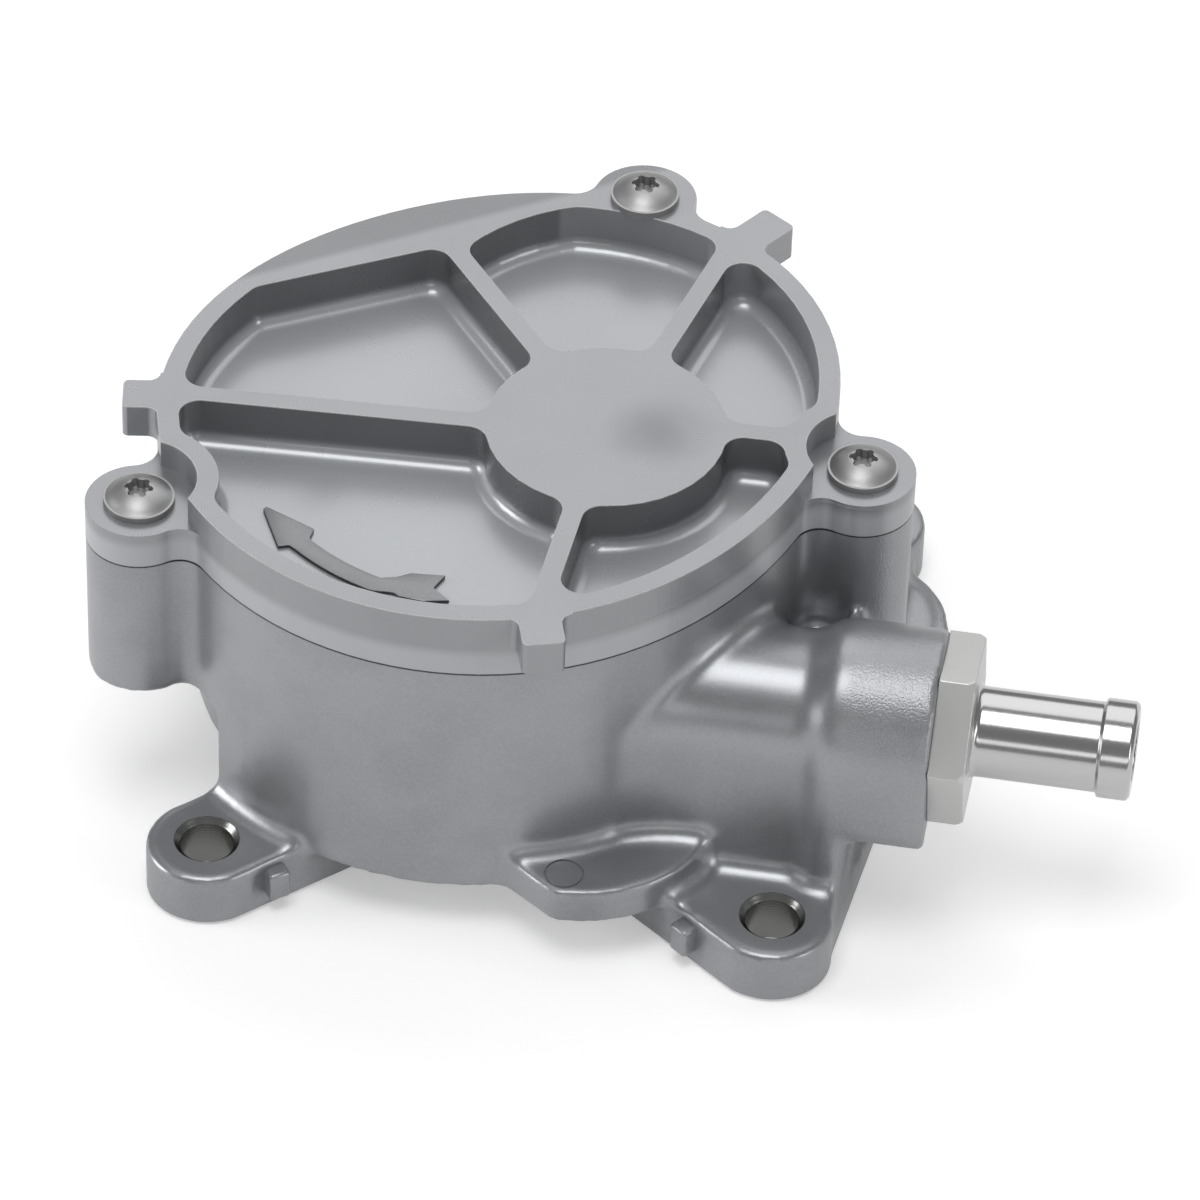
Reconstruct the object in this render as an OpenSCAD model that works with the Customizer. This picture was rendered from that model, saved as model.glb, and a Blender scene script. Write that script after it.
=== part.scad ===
// Engine vacuum pump, camshaft driven, single sliding vane.
// Origin on the rotor axis at the mounting face, +Z towards the cover, +X along the hose nipple.

/* [Overall] */
// Height of the drum's lower edge above the mounting face
drum_z = 6.4; // [5.8:0.1:7]
// Length of the rotor bearing, from the flange recess to the chamber floor
bearing_l = 8.1; // [7.8:0.1:12]
// Thickness of the mounting lugs
lug_t = 7.5; // [7.2:0.1:9]

/* [Body outline] */
// Mean radius of the drum and rim outline
rim_r0 = 44.2; // [43.5:0.1:46]
// Sideways shift of the outline
rim_shift = 1.1; // [0.8:0.1:1.4]
// Ovality of the outline
rim_oval = 2.4; // [1.8:0.1:2.6]
// Three-lobed part of the outline
rim_tri = 0.8; // [0.4:0.1:1]
// Radius of the three cover screw bosses
boss_r = 7.1; // [6.4:0.1:7.4]
// Height of the short screw bosses' lower ends above the mounting face
boss_z = 22.2; // [19:0.2:25]
// Fillet radius between the bosses and the drum
blend_r = 3.4; // [2:0.2:4]

/* [Cover] */
// Thickness of the cover from joint face to rim top
cover_t = 9.5; // [9:0.1:11]
// Thickness of the cover floor under the pockets
cover_floor = 2.5; // [2:0.1:3]
// Width of the rim round the pockets
rim_w = 2.9; // [2.5:0.1:3.4]
// Width of the ribs
rib_w = 2.8; // [2.2:0.1:3.6]
// Radius of the raised hub
hub_r = 16; // [14.5:0.25:17]
// Thickness of the two sunk screw pads
pad_t = 5.4; // [5:0.1:6]
// Radius of the notches cut in the rim over the sunk pads
notch_r = 7.6; // [7.5:0.05:8]
// Rounding of the pocket corners
pocket_r = 2.75; // [1:0.25:3]
// Thickness of the cast tabs on the rim
tab_t = 5; // [4:0.25:6]

/* [Chamber, rotor and vane] */
// Height of the pumping chamber
chamber_h = 30; // [28:0.5:31]
// Distance from the rotor axis to the middle of the chamber
ecc = 7.4; // [6.8:0.1:7.6]
// Half length of the vane, between its middle and a tip's centre
vane_half = 33; // [32:0.25:33.25]
// Radius of the vane tips, half the vane thickness
tip_r = 3; // [2.8:0.1:3.2]
// Gap between the vane tips and the chamber wall
tip_gap = 0.3; // [0.25:0.05:0.4]
// Gap above and below the rotor and vane
end_gap = 0.1; // [0.06:0.02:0.2]
// Gap on each side of the vane in its slot
slot_gap = 0.1; // [0.05:0.05:0.15]
// Radius of the rotor journal
journal_r = 13; // [12.5:0.25:13.5]
// Running gap round the journal
journal_gap = 0.03; // [0.02:0.01:0.05]
// Wall of the bearing bush
bush_wall = 1.5; // [1.2:0.1:2]
// Radius of the vane's middle pin
vane_pin_r = 1.4; // [1.2:0.1:1.6]

/* [Drive] */
// Radius of the drive coupling disc
coupling_r = 10.5; // [10:0.1:10.8]
// Thickness of the drive coupling disc
coupling_t = 2; // [1.8:0.1:2.2]
// Width of the drive tongues
tongue_w = 6; // [5:0.25:7]
// Sideways float of the coupling each way
coupling_float = 0.5; // [0.3:0.1:0.6]
// Outer radius of the oil feed tube
oil_r = 2.5; // [2.2:0.1:2.7]

/* [Mounting flange] */
// Sideways distance of the front bolt holes from the rotor axis
lug_x = 37.9; // [37:0.1:39]
// Forward distance of the front bolt holes from the rotor axis
lug_y = 41.1; // [40:0.1:42]
// Radius of the bolt holes
bolt_r = 3.6; // [3.2:0.05:4.3]
// Outer radius of the lugs
lug_r = 8.1; // [7.6:0.1:8.6]
// Radius of the round gasket land
land_r = 33; // [32:0.25:34]
// Radius of the recess inside the land
recess_r = 26.5; // [25.5:0.25:27]
// Width of the gasket groove
groove_w = 2.4; // [2:0.1:2.8]
// Depth of the gasket groove
groove_d = 1.8; // [1.4:0.1:2.2]

/* [Hose connection] */
// Forward distance of the hose axis from the rotor axis
hose_y = 22; // [21:0.25:23]
// Height of the hose axis above the mounting face
hose_z = 27.5; // [26:0.25:28.5]
// Radius of the neck between the drum and the hose boss
neck_r = 10.6; // [10.2:0.1:11.2]
// Radius of the hose boss
hose_boss_r = 12.7; // [12:0.1:13.2]
// Distance from the rotor axis to the face of the hose boss
hose_face_x = 56.3; // [55:0.25:58]
// Outer radius of the hose spigot
spigot_r = 6; // [5:0.1:6.4]
// Height of the bead over the spigot
bead_h = 0.6; // [0.4:0.1:1]
// Length of the spigot with its bead
spigot_l = 21.2; // [18:0.2:26]
// Length of the bead
bead_l = 4.6; // [3:0.2:6]
// Bore radius of the nipple
nipple_bore_r = 4.2; // [3.6:0.1:4.5]
// Width of the nipple's hexagon across its flats
hex_af = 22; // [20:0.5:24]
// Thickness of the nipple's hexagon
hex_t = 4.8; // [4:0.2:6]
// Length of the nipple's threaded shank
shank_l = 8; // [7:0.25:8.5]
// Radius of the nipple's threaded shank
shank_r = 8.95; // [8.7:0.05:9.2]
// Radius of the check valve's chamber
valve_bore_r = 8; // [7.6:0.1:8.2]
// Opening travel of the check valve disc
valve_lift = 2.5; // [2:0.25:3]

/* [Outlet valve] */
// Radius of the outlet port
port_r = 2.4; // [2:0.1:2.6]
// Thickness of the reed
reed_t = 0.3; // [0.2:0.05:0.4]
// Width of the reed
reed_w = 8; // [7:0.25:9]
// Opening angle of the reed
reed_open = 6; // [5:0.5:7]

/* [Screws] */
// Nominal radius of the cover screws
screw_r = 2.5; // [2.4:0.05:2.6]
// Length of the cover screws under the head
screw_l = 16; // [14:0.5:18]
// Radius of the cover screw heads
head_r = 4.7; // [4.4:0.1:5]
// Height of the cover screw heads
head_h = 2.6; // [2.4:0.1:2.8]

/* [Hidden] */
$fn = 64;

// Middle of the drum outline and directions of its shift and lobes
rim_c = [-7.3, 0.7];
rim_n = 96;
shift_dir = 50;
oval_dir = 46;
tri_dir = 52;
// Cover screws, left front and right on sunk pads, rear at rim height: direction and distance out of the rim
screw_dirs = [[209.5, 4.42], [0.1, 5.1], [74.9, 1.1]];
screw_at = [for (s = screw_dirs) ring_pt(rim_c, rim_at(s[0]) + s[1], s[0])];
// Cover seal groove: its distance in from the rim, width and depth
seal_in = 2.4;
seal_w = 1.4;
seal_d = 1.1;
hub_c = [7.9, -1.5];
// Each rib's direction and its side offset from the hub's middle
ribs = [[182.8, 1.3], [128.1, 0.6], [76.7, -0.7], [1.4, 2.2], [266.7, -0.4]];
// Each tab's direction from the outline's middle, and its reach
tabs = [[189.5, 49.2], [287.6, 48.2], [55.5, 55.2]];
tab_w = 5.6;
tab_f = 1.6;
// Wide plate at the rear left: straight along the left pocket, and an arc along the rear one
plate_c = [6.8, 18];
plate_r = 27.2;
plate_pts = concat([[-57.3, 9.5], [-20.6, 30.7]],
    [for (i = [0:6]) ring_pt(plate_c, plate_r, 150.3 - 6.5 * i)], [[-30, 70]]);

small = 0.05;
chamber_z = drum_z + bearing_l;
seam_z = chamber_z + chamber_h;
total_h = seam_z + cover_t;
pocket_z = seam_z + cover_floor;
pad_z = seam_z + pad_t;
seat_z = [pad_z, pad_z, total_h];
rotor_r = vane_half + tip_r - ecc - tip_gap;
slot_w = 2 * (tip_r + slot_gap);
vane_z = chamber_z + end_gap;
vane_h = chamber_h - 2 * end_gap;
coupling_z = drum_z - 1.6;
journal_end = coupling_z - 3.2;
tongue_h = 3.2;
tongue_r = sqrt(coupling_r * coupling_r - tongue_w * tongue_w / 4) - 0.2;
// Where the oil tube ends, and the depth of its bore in the rotor
oil_top = chamber_z - 2.3;
oil_seal_z = coupling_z + 4.7;
counter_r = coupling_r + coupling_float + 0.2;
ring_z = coupling_z - coupling_t - 0.8;
tap_r = screw_r + small;
screw_clear = 0.3;

// Flange places
lugs = [[-lug_x, -lug_y], [lug_x, -lug_y], [lug_x + 1.3, lug_y - 1.3]];
lobe_dir = [43.3, 143.5, 225];
// Lower plate with its wide ear at the right, and the low ledge set in on the ear
step_z = 3.6;
ear_c = [39.2, 23.2];
ear_r = 13.6;
ledge_w = 2.2;
ledge_h = 1;
// Small cast tabs on the front lugs: place and turn, how far they stand out, their size and lower end
lug_tabs = [[[-28.5, -42.7], 36], [[27.2, -42.8], -40]];
tab_out = 2.2;
lug_tab = [3, 6, 4.4];
lug_tab_z = 1.6;
// Ejector pad: round front cut off straight at the left
pad_c = [10, -28];
pad_r = 18.8;
pad_h = 5.6;
pad_cut = [0.6, -40.5];
pad_dir = -35.3;
// Wall round the chamber where the drum is set in, and the height of its lower end
shell_w = 3.7;
shell_z = chamber_z - 4.5;

// Outlet valve places, along +Y in the flange recess
reed_x = -5.5;
port_y = 31.5;
reed_y0 = 16.5;
reed_screw_y = 20;
reed_screw_r = 2;
reed_screw_top = chamber_z - 2.6 - 1.9;
lobe_r = 12;
stop_t = 1;

// Hose connection places along X
neck_x = lug_x + lug_r - 2.8;
foot_x = lug_x + lug_r - 0.3;
wall_in = 0.15;
// Flare of the neck into the drum, an arc that starts at flare_x and turns by flare_turn
flare_x = 26;
flare_r = 25;
flare_turn = 30;
flare = [for (a = [flare_turn:-flare_turn / 6:0])
    [neck_r + flare_r * (1 - cos(a)), flare_x - flare_r * sin(a)]];
// Soft step from the neck up to just under the boss
rise_l = 4.8;
rise_h = hose_boss_r - neck_r - 0.1;
rise = [for (i = [0:8]) [neck_r + rise_h * (1 - cos(22.5 * i)) / 2, neck_x + 0.2 + rise_l * (i / 8 - 1)]];
hex_x = hose_face_x + hex_t;
shank_x = hose_face_x - shank_l;
cage_t = 2.4;
cage_w = 1.6;
cage_hub = 1.4;
cage_arm = 2.2;
disc_t = 1.25;
disc_r = nipple_bore_r + 2;
disc_x = shank_x - small - disc_t;
// Spring: radius of the coil and its wire, and its length with the valve wide open
coil_r = 4.2;
wire_r = 0.35;
spring_min = 5.4;
valve_x = disc_x - valve_lift - spring_min - cage_t;
stem_r = 1.5;
stem_l = disc_x - valve_x + 0.7;

function rim_at(t) = rim_r0 + rim_shift * cos(t - shift_dir) + rim_oval * cos(2 * (t - oval_dir))
    + rim_tri * cos(3 * (t - tri_dir));
// Radius of a tip's centre from the rotor axis, with the chamber's middle towards -X
function tip_at(t) = vane_half - ecc * cos(t);
// Point on the chamber wall: the path of the tip's centre moved out along its normal
function wall_pt(t, out) = let (r = tip_at(t), d = ecc * sin(t), n = norm([r, d]))
    [r * cos(t) + out * (r * cos(t) + d * sin(t)) / n, r * sin(t) + out * (r * sin(t) - d * cos(t)) / n];
function ring_pt(c, r, t) = [c[0] + r * cos(t), c[1] + r * sin(t)];

module rim2d(inset = 0) {
    polygon([for (i = [0:rim_n - 1]) ring_pt(rim_c, rim_at(360 * i / rim_n) - inset, 360 * i / rim_n)]);
}

module chamber2d(out) {
    polygon([for (i = [0:119]) wall_pt(3 * i, out)]);
}

// Fills inner corners with a fillet
module filled(r) {
    offset(r = -r, $fn = 48) offset(delta = r) children();
}

// Rounds outer corners
module rounded(r) {
    offset(r = r, $fn = 40) offset(delta = -r) children();
}

module at_screws(which = [0, 1, 2]) {
    for (i = which) translate(screw_at[i]) children();
}

// Cast tab reaching out from the rim, with fillets at its root
module tab2d(dir, reach) {
    root = rim_at(dir) - 0.15;
    translate(rim_c) rotate(dir) {
        translate([root - 6, 0]) rounded(0.8) translate([0, -tab_w / 2]) square([reach - root + 6, tab_w]);
        difference() {
            translate([root - 2, -tab_w / 2 - tab_f]) square([tab_f + 2, tab_w + 2 * tab_f]);
            for (s = [-1, 1]) translate([root + tab_f, s * (tab_w / 2 + tab_f)]) circle(tab_f);
        }
    }
}

module along_x(x) {
    translate([x, -hose_y, hose_z]) rotate([90, 0, 90]) children();
}

// Walls under the neck, flared into the drum and a hair inside the neck itself
module neck2d() {
    w = neck_r - wall_in;
    translate([0, -hose_y]) polygon(concat([[0, w], [0, -w - 2]], [for (p = flare) [p[1], wall_in - p[0]]],
        [[foot_x, -w], [foot_x, w]]));
}

// Wider foot under the hose boss
module foot2d() {
    translate([neck_x + 0.2, wall_in - hose_boss_r - hose_y])
        square([foot_x - neck_x - 0.2, 2 * (hose_boss_r - wall_in)]);
}

// Drum section: outline, the bosses named, and the walls under the neck if asked
module drum2d(which, neck) {
    filled(blend_r) {
        rim2d();
        at_screws(which) circle(boss_r);
        if (neck) neck2d();
    }
    if (neck) foot2d();
}

// Lower drum: it ends along the left front lug's side, and behind that the chamber's own wall shows
module lower2d() {
    intersection() {
        drum2d([1], true);
        translate(lugs[0]) rotate(lobe_dir[0]) translate([-60, lug_r - 130.3]) square([190, 130]);
    }
}

module lug_lobe2d(i, r) {
    translate(lugs[i]) {
        circle(r);
        rotate(lobe_dir[i]) translate([0, -r]) square([32, 2 * r]);
    }
}

module land2d(grow = 0) {
    circle(land_r + grow);
    translate([reed_x, port_y - 5]) circle(lobe_r + land_r - recess_r + grow);
}

module flange2d() {
    filled(2.5) {
        land2d();
        for (i = [0:2]) lug_lobe2d(i, lug_r);
        translate([lug_x - 12.9, -lug_y]) square([foot_x - lug_x + 12.9, 2 * lug_y - 1.3]);
    }
}

module recess2d(grow = 0) {
    filled(2) {
        circle(recess_r + grow);
        translate([reed_x, port_y - 5]) circle(lobe_r + grow);
    }
}

module gasket2d(w) {
    difference() {
        recess2d((land_r - recess_r + w) / 2);
        recess2d((land_r - recess_r - w) / 2);
    }
}

// Round above and square below, with rounded lower corners
module hose_boss2d() {
    c = 3.5;
    circle(hose_boss_r);
    translate([-hose_boss_r, c - hose_boss_r]) square([2 * hose_boss_r, hose_boss_r - c]);
    translate([c - hose_boss_r, -hose_boss_r]) square([2 * (hose_boss_r - c), hose_boss_r]);
    for (s = [-1, 1]) translate([s * (hose_boss_r - c), c - hose_boss_r]) circle(c);
}

module housing_solid() {
    translate([0, 0, drum_z]) linear_extrude(boss_z - drum_z) lower2d();
    translate([0, 0, shell_z]) linear_extrude(boss_z - shell_z) chamber2d(tip_r + tip_gap + shell_w);
    translate([0, 0, boss_z]) linear_extrude(hose_z - boss_z) drum2d([0, 1, 2], true);
    translate([0, 0, hose_z]) linear_extrude(seam_z - hose_z) drum2d([0, 1, 2], false);
    linear_extrude(shell_z + 1) land2d(-0.7);
    linear_extrude(lug_t) flange2d();
    // Lower plate and the ledge on its ear
    linear_extrude(step_z) hull() {
        translate(lugs[1]) circle(lug_r - 0.4);
        translate(ear_c) circle(ear_r);
    }
    translate(ear_c) cylinder(r = ear_r - ledge_w, h = step_z + ledge_h);
    translate([0, 0, drum_z]) linear_extrude(pad_h) rounded(2) intersection() {
        translate(pad_c) circle(pad_r);
        translate(pad_cut) rotate(pad_dir) square([60, 30]);
    }
    for (t = lug_tabs) translate(t[0]) rotate(t[1])
        translate([-lug_tab[0] / 2, -tab_out, lug_tab_z]) cube(lug_tab);
    along_x(0) rotate_extrude() polygon(concat([[0, flare[0][1]]], flare, rise,
        [[0, neck_x + 0.2]]));
    along_x(neck_x) linear_extrude(hose_face_x - neck_x) hose_boss2d();
}

module housing() {
    color("silver") difference() {
        housing_solid();
        translate([0, 0, chamber_z]) linear_extrude(chamber_h + 1) chamber2d(tip_r + tip_gap);
        // Bearing bore, flange recess and gasket groove
        translate([0, 0, -1]) cylinder(r = journal_r + journal_gap + bush_wall, h = chamber_z + 2);
        translate([0, 0, -1]) linear_extrude(drum_z + 1) recess2d();
        translate([0, 0, -1]) linear_extrude(groove_d + 1) gasket2d(groove_w);
        // Groove for the cover seal
        translate([0, 0, seam_z - seal_d]) linear_extrude(2) difference() {
            rim2d(seal_in);
            rim2d(seal_in + seal_w);
        }
        at_screws() translate([0, 0, seam_z - screw_l]) cylinder(r = tap_r, h = screw_l + 1);
        for (p = lugs) translate(p) {
            translate([0, 0, -1]) cylinder(r = bolt_r, h = lug_t + 2);
            translate([0, 0, lug_t - 0.65]) cylinder(r1 = bolt_r, r2 = bolt_r + 0.7, h = 0.7);
        }
        // Inlet passage, check valve chamber and nipple thread
        along_x(12) cylinder(r = 5, h = valve_x - 11);
        along_x(valve_x) cylinder(r = valve_bore_r, h = shank_x - valve_x + 0.7);
        along_x(shank_x - 0.3) cylinder(r = shank_r + small, h = shank_l + 2);
        // Outlet port and the tapped hole of the reed screw
        translate([reed_x, port_y, 1]) cylinder(r = port_r, h = chamber_z + 1);
        translate([reed_x, reed_screw_y, 1]) cylinder(r = reed_screw_r + small, h = reed_screw_top - 0.4);
    }
}

module pockets2d() {
    rounded(pocket_r) difference() {
        rim2d(rim_w);
        translate(hub_c) {
            circle(hub_r);
            for (b = ribs) rotate(b[0]) translate([0, b[1] - rib_w / 2]) square([70, rib_w]);
        }
        at_screws([0, 1]) circle(notch_r + rim_w);
        polygon(plate_pts);
    }
}

module cover() {
    color("silver") difference() {
        union() {
            translate([0, 0, seam_z]) linear_extrude(pad_t) drum2d([0, 1, 2], false);
            translate([0, 0, pad_z]) linear_extrude(cover_t - pad_t) difference() {
                drum2d([2], false);
                at_screws([0, 1]) circle(notch_r);
            }
            for (t = tabs) translate([0, 0, total_h - tab_t]) linear_extrude(tab_t) tab2d(t[0], t[1]);
        }
        translate([0, 0, pocket_z]) linear_extrude(cover_t) pockets2d();
        at_screws() translate([0, 0, seam_z - 1]) cylinder(r = screw_r + screw_clear, h = cover_t + 2);
    }
}

module cover_seal() {
    color("black") translate([0, 0, seam_z - seal_d]) linear_extrude(seal_d) difference() {
        rim2d(seal_in + small);
        rim2d(seal_in + seal_w - small);
    }
}

module screw(r, l, hr, hh) {
    difference() {
        union() {
            translate([0, 0, -l]) cylinder(r = r, h = l);
            // Thin lip and a domed top
            rotate_extrude() intersection() {
                square([hr, hh]);
                union() {
                    square([hr, 0.9]);
                    translate([0, hh - (hr * hr + (hh - 0.6) * (hh - 0.6)) / (2 * (hh - 0.6))])
                        circle((hr * hr + (hh - 0.6) * (hh - 0.6)) / (2 * (hh - 0.6)), $fn = 128);
                }
            }
        }
        // Six-lobed socket
        translate([0, 0, hh - 1.7]) {
            cylinder(r = 1.45, h = 2);
            for (i = [0:5]) rotate(60 * i) translate([1.5, 0, 0]) cylinder(r = 0.45, h = 2);
        }
    }
}

module cover_screws() {
    color("lightgray") for (i = [0:2]) translate([screw_at[i][0], screw_at[i][1], seat_z[i]])
        screw(screw_r, screw_l, head_r, head_h);
}

module shaft_bush() {
    color("tan") translate([0, 0, drum_z]) difference() {
        cylinder(r = journal_r + journal_gap + bush_wall, h = chamber_z - drum_z);
        translate([0, 0, -1]) cylinder(r = journal_r + journal_gap, h = chamber_z);
    }
}

module rotor() {
    color("dimgray") difference() {
        union() {
            translate([0, 0, vane_z]) cylinder(r = rotor_r, h = vane_h);
            translate([0, 0, journal_end]) cylinder(r = journal_r, h = vane_z - journal_end + 1);
        }
        translate([-slot_w / 2, -rotor_r - 1, vane_z]) cube([slot_w, 2 * rotor_r + 2, vane_h + 1]);
        // Lightening pockets on both sides of the slot
        translate([0, 0, vane_z + 4]) intersection() {
            cylinder(r = rotor_r - 3.5, h = vane_h);
            for (s = [-1, 1], u = [-1, 1]) translate([s * (slot_w / 2 + 13.5) - 10, u * 13.3 - 11.3, 0])
                cube([20, 22.6, vane_h]);
        }
        // Seat and socket for the coupling, ring groove and oil tube bore
        translate([0, 0, journal_end - 1]) cylinder(r = counter_r, h = coupling_z - journal_end + 1);
        translate([-counter_r - 0.3, -tongue_w / 2 - small, coupling_z - small])
            cube([2 * counter_r + 0.6, tongue_w + 2 * small, tongue_h]);
        translate([0, 0, ring_z - small]) cylinder(r = counter_r + 0.7, h = 0.5 + 2 * small);
        translate([0, 0, coupling_z - 1]) cylinder(r = oil_r + small, h = oil_top - coupling_z + 1.6);
    }
}

module vane() {
    color("gray") translate([0, 0, vane_z]) difference() {
        union() {
            translate([-tip_r, -vane_half, 0]) cube([2 * tip_r, 2 * vane_half, vane_h]);
            for (s = [-1, 1]) translate([0, s * vane_half, 0]) cylinder(r = tip_r, h = vane_h);
        }
        translate([0, 0, 4]) cylinder(r = vane_pin_r + small, h = vane_h);
        // Windows that lighten the vane
        for (s = [-1, 1]) translate([-tip_r - 1, s * 16 - 9, 6]) cube([2 * tip_r + 2, 18, vane_h - 12]);
    }
}

module vane_pin() {
    color("lightgray") translate([0, 0, vane_z + 4]) cylinder(r = vane_pin_r, h = vane_h - 4.2);
}

// Cross-slot coupling: upper tongue along X in the rotor, lower tongue along Y for the camshaft
module drive_coupling() {
    top = coupling_z - 0.2;
    color("slategray") difference() {
        union() {
            translate([0, 0, top - coupling_t]) cylinder(r = coupling_r, h = coupling_t);
            translate([-tongue_r, -tongue_w / 2, top - small])
                cube([2 * tongue_r, tongue_w, tongue_h - 0.3]);
            translate([-tongue_w / 2, -coupling_r + 1.3, 0.5])
                cube([tongue_w, 2 * coupling_r - 2.6, top - coupling_t]);
        }
        translate([0, 0, -1]) cylinder(r = oil_r + coupling_float + 0.3, h = 12);
    }
}

// Split ring in the journal's groove that keeps the coupling in
module coupling_ring() {
    color("lightgray") translate([0, 0, ring_z]) difference() {
        cylinder(r = counter_r + 0.65, h = 0.5);
        translate([0, 0, -1]) cylinder(r = coupling_r - 0.6, h = 3);
        translate([0, -2, -1]) cube([2 * coupling_r, 4, 3]);
    }
}

module oil_tube() {
    color("silver") difference() {
        translate([0, 0, 0.5]) cylinder(r = oil_r, h = oil_top - 0.5);
        translate([0, 0, -1]) cylinder(r = oil_r - 0.9, h = oil_top + 2);
        translate([0, 0, oil_seal_z - 0.3]) difference() {
            cylinder(r = oil_r + 1, h = 0.6);
            translate([0, 0, -1]) cylinder(r = oil_r - 0.5, h = 3);
        }
    }
}

module oil_seal() {
    color("black") translate([0, 0, oil_seal_z]) rotate_extrude()
        translate([oil_r - 0.22, 0]) circle(0.26);
}

module outlet_reed() {
    color("silver") translate([reed_x, 0, drum_z - reed_t]) difference() {
        union() {
            translate([-reed_w / 2, reed_y0, 0]) cube([reed_w, port_y - reed_y0, reed_t]);
            translate([0, port_y, 0]) cylinder(r = reed_w / 2, h = reed_t);
        }
        translate([0, reed_screw_y, -1]) cylinder(r = reed_screw_r + 0.3, h = 2);
    }
}

module reed_stop() {
    z = drum_z - reed_t;
    l = port_y + reed_w / 2 - reed_y0;
    drop = l * tan(reed_open);
    color("lightgray") difference() {
        translate([reed_x - reed_w / 2, 0, 0]) rotate([90, 0, 90]) linear_extrude(reed_w)
            polygon([[reed_y0 - 1.8, drum_z], [reed_y0 - 0.1, drum_z], [reed_y0 - 0.1, z - small],
                [reed_y0 + l, z - small - drop], [reed_y0 + l, z - drop - stop_t],
                [reed_screw_y + 4, z - 1.6], [reed_y0 - 1.8, z - 1.6]]);
        translate([reed_x, reed_screw_y, 1]) cylinder(r = reed_screw_r + small, h = 8);
    }
}

module reed_screw() {
    seat = drum_z - reed_t - 1.6;
    color("dimgray") translate([reed_x, reed_screw_y, seat]) rotate([180, 0, 0])
        difference() {
            union() {
                cylinder(r = 3.4, h = 2);
                translate([0, 0, seat - reed_screw_top])
                    cylinder(r = reed_screw_r, h = reed_screw_top - seat + 1);
            }
            translate([0, 0, 0.9]) cylinder(r = 1.6, h = 2, $fn = 6);
        }
}

module hose_nipple() {
    f = 1;
    color("whitesmoke") difference() {
        union() {
            along_x(shank_x) cylinder(r = shank_r, h = shank_l + 1);
            along_x(hose_face_x) intersection() {
                rotate(50) cylinder(r = hex_af / sqrt(3), h = hex_t, $fn = 6);
                cylinder(r1 = hex_af / sqrt(3) + 2, r2 = hex_af / sqrt(3) - 0.5, h = hex_t);
            }
            // Spigot turned with a root fillet and a chamfered bead
            along_x(hex_x - 1) rotate_extrude() difference() {
                polygon([[0, 0], [spigot_r + f, 0], [spigot_r + f, 1 + f], [spigot_r, 1 + f],
                    [spigot_r, spigot_l + 1 - bead_l], [spigot_r + bead_h, spigot_l + 1.3 - bead_l],
                    [spigot_r + bead_h, spigot_l + 0.5], [spigot_r + bead_h - 0.5, spigot_l + 1],
                    [0, spigot_l + 1]]);
                translate([spigot_r + f, 1 + f]) circle(f);
            }
        }
        along_x(shank_x - 1) cylinder(r = nipple_bore_r, h = shank_l + hex_t + spigot_l + 2);
        // Seal groove under the hexagon
        along_x(hose_face_x - 2.4) difference() {
            cylinder(r = shank_r + 1, h = 1.7);
            translate([0, 0, -1]) cylinder(r = shank_r - 1.5, h = 4);
        }
    }
}

module nipple_seal() {
    color("black") along_x(hose_face_x - 1.55) rotate_extrude() translate([shank_r - 0.72, 0]) circle(0.74);
}

module valve_disc() {
    color("dimgray") along_x(disc_x) {
        cylinder(r = disc_r, h = disc_t);
        translate([0, 0, -stem_l]) cylinder(r = stem_r, h = stem_l + 0.5);
    }
}

module valve_cage() {
    color("lightgray") along_x(valve_x) difference() {
        cylinder(r = valve_bore_r, h = cage_t);
        translate([0, 0, -1]) difference() {
            cylinder(r = valve_bore_r - cage_w, h = cage_t + 2);
            translate([0, 0, -1]) cylinder(r = stem_r + cage_hub, h = cage_t + 4);
            for (i = [0:2]) rotate(120 * i) translate([0, -cage_arm / 2, -1])
                cube([valve_bore_r, cage_arm, cage_t + 4]);
        }
        translate([0, 0, -1]) cylinder(r = stem_r + small, h = cage_t + 2);
    }
}

// Open coil swept from computed rings between the cage and the disc
module valve_spring() {
    sides = 6;
    per = 20;
    turns = 4;
    l = disc_x - valve_x - cage_t - 2 * wire_r - 0.04;
    n = turns * per;
    pts = [for (i = [0:n]) for (k = [0:sides - 1]) let (a = 360 * i / per, b = 360 * k / sides,
        r = coil_r + wire_r * cos(b)) [r * cos(a), r * sin(a), wire_r + 0.02 + l * i / n + wire_r * sin(b)]];
    side = [for (i = [0:n - 1]) for (k = [0:sides - 1]) let (k2 = (k + 1) % sides)
        [i * sides + k, (i + 1) * sides + k, (i + 1) * sides + k2, i * sides + k2]];
    color("silver") along_x(valve_x + cage_t) polyhedron(pts, concat([[for (k = [0:sides - 1]) k]], side,
        [[for (k = [sides - 1:-1:0]) n * sides + k]]));
}

module flange_gasket() {
    color("black") linear_extrude(groove_d) gasket2d(groove_w - 0.1);
}

housing();
cover();
cover_seal();
cover_screws();
shaft_bush();
rotor();
vane();
vane_pin();
drive_coupling();
coupling_ring();
oil_tube();
oil_seal();
outlet_reed();
reed_stop();
reed_screw();
hose_nipple();
nipple_seal();
valve_disc();
valve_spring();
valve_cage();
flange_gasket();
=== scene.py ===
import math
import bpy
import bmesh
from mathutils import Matrix, Vector


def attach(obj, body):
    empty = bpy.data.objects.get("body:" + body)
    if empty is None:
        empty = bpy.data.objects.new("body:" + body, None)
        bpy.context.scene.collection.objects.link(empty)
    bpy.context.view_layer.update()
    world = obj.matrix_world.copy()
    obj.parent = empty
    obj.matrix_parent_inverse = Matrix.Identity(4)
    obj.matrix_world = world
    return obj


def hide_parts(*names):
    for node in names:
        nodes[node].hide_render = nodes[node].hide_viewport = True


# Engine vacuum pump: satin cast housing and cover, turned hose nipple.
# Settings give lengths in millimetres, and mm turns them into the scene's metres.
mm = 0.001

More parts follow.
